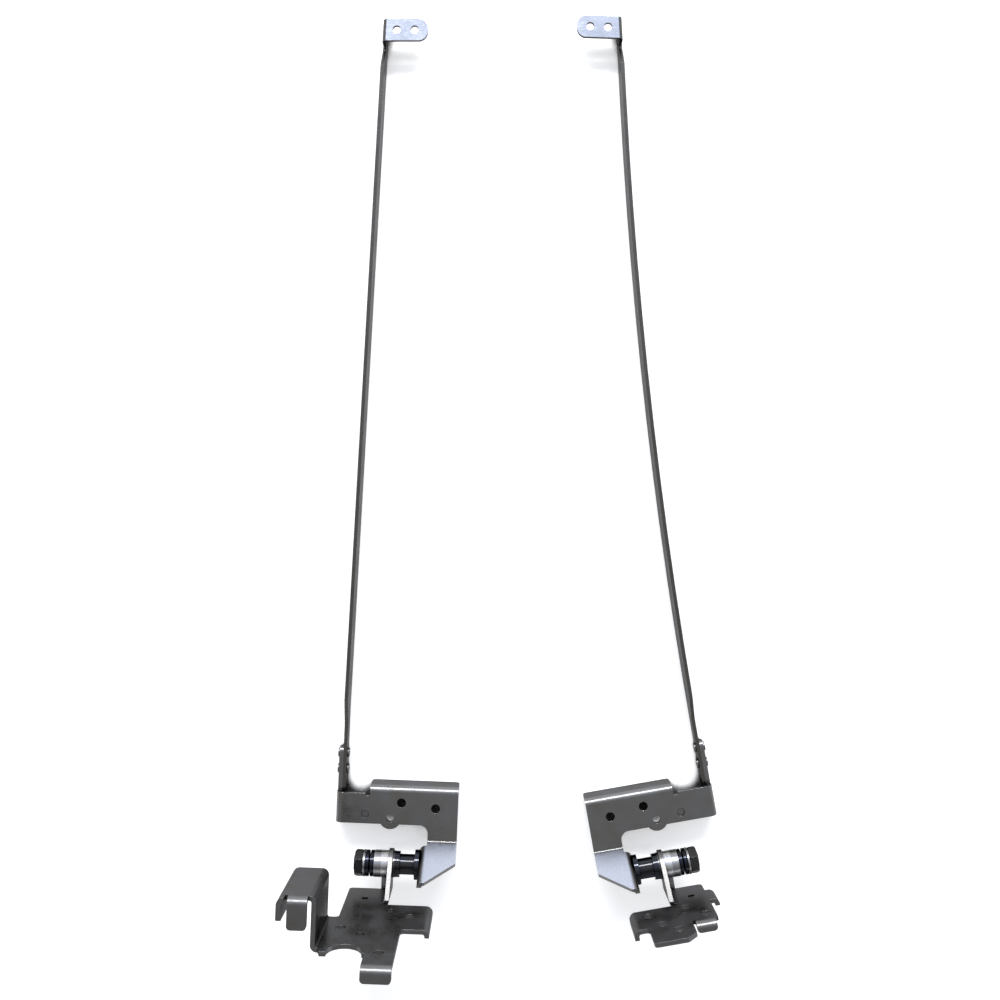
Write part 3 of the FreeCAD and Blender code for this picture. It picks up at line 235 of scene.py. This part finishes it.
def hinge_place(kit, side):
    """Texture coordinates in millimetres: x along the hinge's shaft, y up its rail, z towards the sky."""
    where = kit.make("ShaderNodeTexCoord").outputs["Object"]
    moved = kit.vector("SUBTRACT", where, SHAFT_POINT[side])
    turn = kit.make("ShaderNodeVectorRotate", Vector=moved, Angle=-SHAFT_TURN[side])
    turn.rotation_type = "Z_AXIS"
    return kit.vector("MULTIPLY", turn.outputs[0], (1 / MM, 1 / MM, 1 / MM))


def edge_mask(kit):
    """1 on sharp edges and 0 on flat faces, from how far the softened normal turns; and that normal."""
    soft = kit.make("ShaderNodeBevel", Radius=EDGE_RADIUS)
    soft.samples = EDGE_SAMPLES
    true = kit.make("ShaderNodeNewGeometry").outputs["Normal"]
    match = kit.vector("DOT_PRODUCT", soft.outputs[0], true, "Value")
    return kit.span(match, EDGE_FADE), soft.outputs[0]


def face_mask(kit, side, place, painted_sheen):
    """1 on the faces of one stretch of the hinge, seen up its rail, that look one way, where a painted
    sheen goes.
    """
    normal = kit.make("ShaderNodeTexCoord").outputs["Normal"]
    facing = Vector(painted_sheen["facing"])
    facing.rotate(Euler((0.0, 0.0, SHAFT_TURN[side])))
    match = kit.vector("DOT_PRODUCT", normal, facing, "Value")
    flat = kit.span(match, FACING_FADE)
    up = kit.make("ShaderNodeSeparateXYZ", Vector=place).outputs["Y"]
    above = kit.span(up, (painted_sheen["low"] - SHEEN_BORDER, painted_sheen["low"] + SHEEN_BORDER))
    below = kit.span(up, (painted_sheen["high"] - SHEEN_BORDER, painted_sheen["high"] + SHEEN_BORDER), 1.0, 0.0)
    return kit.math("MULTIPLY", flat, kit.math("MULTIPLY", above, below))


def metal(kind, side, level, tint, rough, edge_wear_and_highlight, lines=None, line_depth=0.0, painted_sheen=None):
    """Plated steel: broad stains, fine specks, scratches, edges brightened partly by wear and partly by a
    painted highlight, painted shade in holes and crevices, a painted sheen on chosen faces where wanted,
    and, where wanted, machining lines.
    """
    material = bpy.data.materials.new(f"{kind}_{side}")
    kit = Nodes(material)
    place = hinge_place(kit, side)
    stain = kit.noise(place, STAIN)
    speck = kit.noise(place, SPECK)
    scratch = kit.noise(kit.vector("MULTIPLY", place, SCRATCHED), SCRATCH)
    edges, soft_normal = edge_mask(kit)
    # colour: stains and specks over the plating, then bare bright steel and a painted highlight along the
    # edges
    stained = kit.span(stain, STAIN_FADE)
    base = kit.blend(stained, grey(level * STAINED, WARM), grey(level * CLEAN, tint))
    # painted sheen: faces that look one way on the brace or the ear get a brighter, bluer colour, as if
    # catching the light
    if painted_sheen:
        base = kit.blend(face_mask(kit, side, place, painted_sheen), base, grey(painted_sheen["level"], BLUE))
    base = kit.blend(kit.span(speck, SPECK_FADE, 0.0, SPECK_SHARE), base, grey(level * SPECKED, tint))
    worn_and_highlit = kit.math("MULTIPLY", edges, kit.span(scratch, WEAR_AND_HIGHLIGHT_FADE, LEAST_WEAR_AND_HIGHLIGHT, 1.0))
    bare_steel_and_highlight = grey(min(level * BARE_STEEL_AND_HIGHLIGHT, BRIGHTEST_BARE_AND_HIGHLIT), COOL)
    base = kit.blend(kit.math("MULTIPLY", worn_and_highlit, edge_wear_and_highlight), base, bare_steel_and_highlight)
    # painted shade: holes and the lines between stacked pieces are painted dark where the crevice mask
    # finds them covered
    unshaded = kit.openness(CREVICE_REACH, CREVICE_SAMPLES, CREVICE_FADE)
    base = kit.blend(unshaded, grey(level * CREVICE_PAINTED_SHADE), base)
    # roughness: smudges and scratches
    smudge = kit.span(stain, SMUDGE_FADE, rough * SMOOTH_SMUDGE, rough * DULL_SMUDGE)
    scratched = kit.span(scratch, SCRATCH_FADE, 0.0, SCRATCH_ROUGHNESS)
    roughness = kit.math("ADD", smudge, scratched, clamp=True)
    # relief: grain of the plating, and lines left by rolling or turning
    relief = kit.math("MULTIPLY", speck, GRAIN)
    if lines:
        line = kit.noise(kit.vector("MULTIPLY", place, lines), LINE)
        relief = kit.math("ADD", relief, kit.math("MULTIPLY", line, line_depth))
    bump = kit.make("ShaderNodeBump", Strength=BUMP_STRENGTH, Distance=BUMP_DEPTH, Height=relief,
                    Normal=soft_normal)
    shader = kit.make("ShaderNodeBsdfPrincipled", Base_Color=base, Roughness=roughness,
                      Normal=bump.outputs[0])
    shader.inputs["Metallic"].default_value = 1.0
    shader.inputs["Specular Tint"].default_value = grey(ALONG_SURFACE)
    kit.show("ShaderNodeOutputMaterial", shader)
    return material


def finish_of(node_name):
    """The finish that a node has: its name without the side, and without a spring disc's number."""
    kind = node_name.split("_", 1)[1]
    return "spring_disc" if kind.startswith("spring_disc") else kind


def floor():
    """The white table, which keeps a soft shadow and has painted shade close under the plates."""
    mesh = bpy.data.meshes.new("table")
    corners = [(x * TABLE_REACH, y * TABLE_REACH, 0) for x, y in ((-1, -1), (1, -1), (1, 1), (-1, 1))]
    mesh.from_pydata(corners, [], [(0, 1, 2, 3)])
    table = bpy.data.objects.new("table", mesh)
    table.location.z = -TABLE_DROP
    bpy.context.scene.collection.objects.link(table)
    material = bpy.data.materials.new("white_table")
    kit = Nodes(material)
    # painted shade: what lies close under a plate is painted dark, so the screw holes look deep
    open_air = kit.openness(COVER_REACH, COVER_SAMPLES, OPEN_AIR_FADE)
    white_and_painted_shade = kit.blend(open_air, grey(TABLE_PAINTED_SHADE), grey(TABLE_WHITE))
    matte = kit.make("ShaderNodeBsdfDiffuse", Color=white_and_painted_shade)
    # the camera and reflections see the table a little brighter, and it casts no more light for it; under a
    # plate this glow is left out, so the painted shade stays
    seen = kit.make("ShaderNodeLightPath")
    direct = kit.math("MAXIMUM", seen.outputs["Is Camera Ray"], seen.outputs["Is Glossy Ray"])
    direct = kit.math("MAXIMUM", direct, seen.outputs["Is Transmission Ray"])
    shine = kit.math("MULTIPLY", kit.math("MULTIPLY", direct, open_air), TABLE_GLOW)
    glow = kit.make("ShaderNodeEmission", Color=grey(1.0), Strength=shine)
    both = kit.make("ShaderNodeAddShader", _0=matte.outputs[0], _1=glow.outputs[0])
    kit.show("ShaderNodeOutputMaterial", both)
    mesh.materials.append(material)


def sky():
    """A room that is bright and slightly blue beyond the rails' far ends, and dim behind the brackets."""
    world = bpy.data.worlds.new("room")
    bpy.context.scene.world = world
    kit = Nodes(world)
    towards = kit.make("ShaderNodeTexCoord").outputs["Generated"]
    parts = kit.make("ShaderNodeSeparateXYZ", Vector=towards)
    ramp = kit.make("ShaderNodeValToRGB", Fac=kit.span(parts.outputs["Y"], ROOM_FADE))
    stops = ramp.color_ramp.elements
    stops[0].color = grey(ROOM_LEVEL_NEAR)
    stops[1].color = ROOM_FAR
    stops.new(0.5).color = grey(ROOM_LEVEL_MIDDLE)
    stops.new(0.75).color = ROOM_UPPER
    # the camera itself sees plain white beyond the table
    seen = kit.make("ShaderNodeLightPath")
    colour = kit.blend(seen.outputs["Is Camera Ray"], ramp.outputs["Color"], grey(1.0))
    kit.show("ShaderNodeOutputWorld", kit.make("ShaderNodeBackground", Color=colour))


def lamp(name, place, size, power):
    """A rectangular soft lamp that points at the middle of the table."""
    data = bpy.data.lights.new(name, "AREA")
    data.shape = "RECTANGLE"
    data.size, data.size_y = size
    data.energy = power
    item = bpy.data.objects.new(name, data)
    item.location = place
    towards = Vector(TABLE_MIDDLE) - Vector(place)
    item.rotation_euler = towards.to_track_quat("-Z", "Y").to_euler()
    bpy.context.scene.collection.objects.link(item)


def camera():
    data = bpy.data.cameras.new("camera")
    data.lens = LENS
    data.sensor_width = SENSOR_WIDTH
    data.clip_start = NEAREST_SEEN
    item = bpy.data.objects.new("camera", data)
    item.location = (*PHOTO_MIDDLE, CAMERA_HIGH)
    bpy.context.scene.collection.objects.link(item)
    bpy.context.scene.camera = item


# one material for each finish on each hinge, since textures follow the hinge's own frame
finished = {}
for name, node in nodes.items():
    side = name.split("_")[0]
    kind = finish_of(name)
    if (side, kind) not in finished:
        finished[side, kind] = metal(kind, side, **FINISHES[kind])
    for slot in node.material_slots:
        slot.material = finished[side, kind]

floor()
sky()
camera()
lamp("window", place=(0.0, 0.9, 0.75), size=(1.2, 0.25), power=12.0)
lamp("strip", place=(0.0, 0.84, 0.7), size=(0.9, 0.02), power=5.0)
bpy.context.scene.view_settings.view_transform = "Standard"
